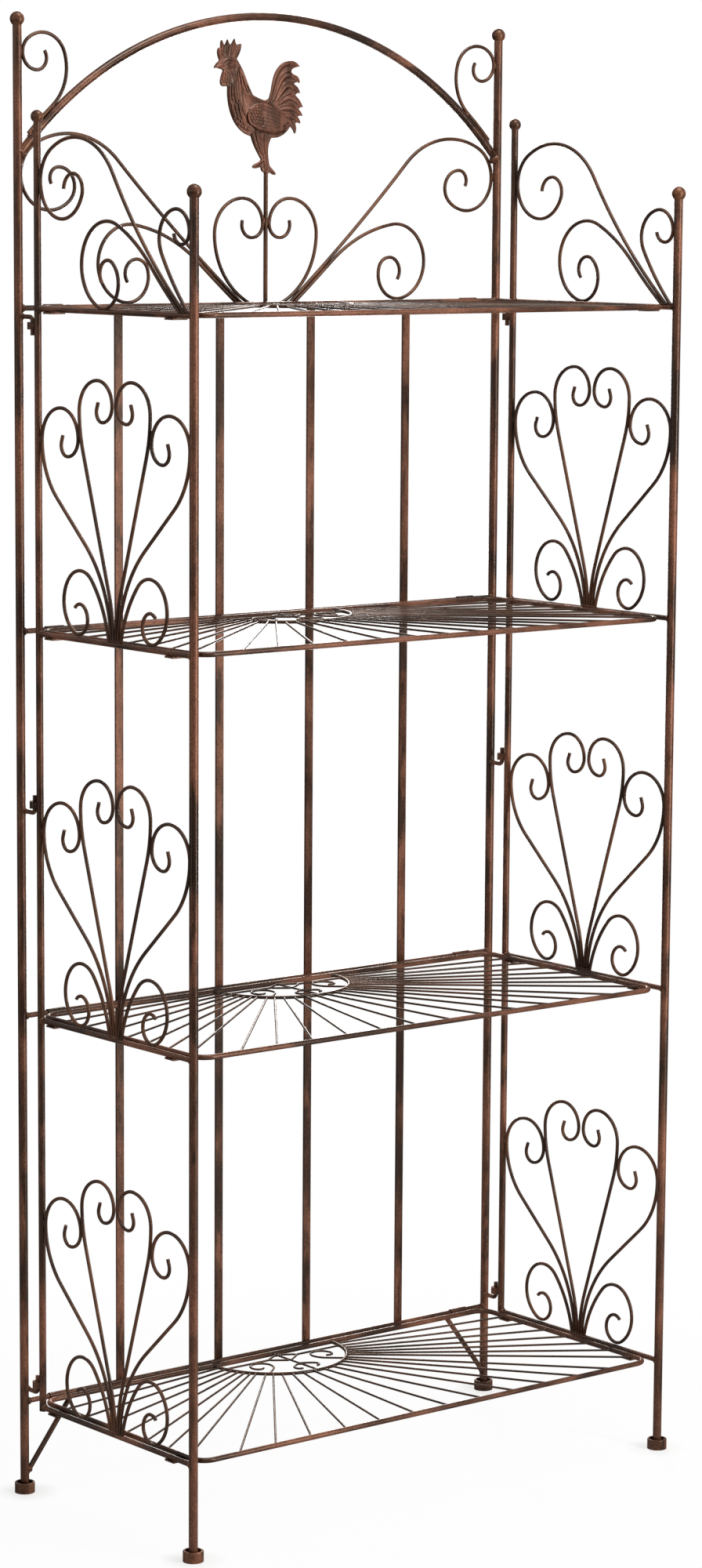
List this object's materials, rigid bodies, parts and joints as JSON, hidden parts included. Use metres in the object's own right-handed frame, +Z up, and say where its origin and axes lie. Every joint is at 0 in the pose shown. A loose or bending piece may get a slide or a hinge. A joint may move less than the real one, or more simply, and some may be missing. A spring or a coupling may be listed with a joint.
{
  "type": "plant rack",
  "caption": "Tall folding iron plant rack: wire shelves between hinged side panels with scrollwork, and an arched back with a rooster crest.",
  "frame": {"origin": "on the floor, midway between the four feet", "axes": "+X to the right of a person facing the shelves, +Y from the front to the back panel, +Z up"},
  "size_m": [0.715, 0.341, 1.6722],
  "materials": {
    "bar": "antiqued satin",
    "wire": "antiqued satin",
    "cast_ornament": "antiqued satin"
  },
  "bodies": {
    "back_panel": {"back_upright_left": "bar", "back_upright_right": "bar", "back_feet": "bar", "back_finials": "cast_ornament", "arch": "bar", "rear_rail_1": "bar", "rear_rail_2": "bar", "rear_rail_3": "bar", "rear_rail_4": "bar", "slats": "bar", "braces": "bar", "back_scrolls_left": "wire", "back_scrolls_right": "wire", "heart_scroll": "wire", "corner_scrolls": "wire", "rooster_post": "bar", "rooster": "cast_ornament", "hinge_pins_left": "bar", "hinge_pins_right": "bar"},
    "left_panel": {"rear_upright_left": "bar", "front_upright_left": "bar", "front_foot_left": "bar", "side_finials_left": "cast_ornament", "side_rails_left": "bar", "shelf_lugs_left": "bar", "hinge_eyes_left": "bar", "top_scrolls_left": "wire", "fan_left_2": "wire", "fan_left_3": "wire", "fan_left_4": "wire"},
    "right_panel": {"rear_upright_right": "bar", "front_upright_right": "bar", "front_foot_right": "bar", "side_finials_right": "cast_ornament", "side_rails_right": "bar", "shelf_lugs_right": "bar", "hinge_eyes_right": "bar", "top_scrolls_right": "wire", "fan_right_2": "wire", "fan_right_3": "wire", "fan_right_4": "wire"},
    "shelf_1": {"shelf_frame_1": "bar", "shelf_spokes_1": "wire", "shelf_rosette_1": "wire", "shelf_clips_1": "bar"},
    "shelf_2": {"shelf_frame_2": "bar", "shelf_spokes_2": "wire", "shelf_rosette_2": "wire", "shelf_clips_2": "bar"},
    "shelf_3": {"shelf_frame_3": "bar", "shelf_spokes_3": "wire", "shelf_rosette_3": "wire", "shelf_clips_3": "bar"},
    "shelf_4": {"shelf_frame_4": "bar", "shelf_spokes_4": "wire", "shelf_rosette_4": "wire", "shelf_clips_4": "bar"}
  },
  "joints": [
    {"name": "shelf_1_lift", "type": "hinge", "parent": "back_panel", "child": "shelf_1", "pos_m": [0, 0.1575, 1.344], "axis": [-1, 0, 0], "range_deg": [0, 88]},
    {"name": "shelf_2_lift", "type": "hinge", "parent": "back_panel", "child": "shelf_2", "pos_m": [0, 0.1575, 0.988], "axis": [-1, 0, 0], "range_deg": [0, 88]},
    {"name": "shelf_3_lift", "type": "hinge", "parent": "back_panel", "child": "shelf_3", "pos_m": [0, 0.1575, 0.554], "axis": [-1, 0, 0], "range_deg": [0, 88]},
    {"name": "shelf_4_lift", "type": "hinge", "parent": "back_panel", "child": "shelf_4", "pos_m": [0, 0.1575, 0.107], "axis": [-1, 0, 0], "range_deg": [0, 88]},
    {"name": "left_panel_swing", "type": "hinge", "parent": "back_panel", "child": "left_panel", "pos_m": [-0.344, 0.13505, 0.8], "axis": [0, 0, -1], "range_deg": [0, 90]},
    {"name": "right_panel_swing", "type": "hinge", "parent": "back_panel", "child": "right_panel", "pos_m": [0.344, 0.13505, 0.8], "axis": [0, 0, 1], "range_deg": [0, 90]}
  ]
}
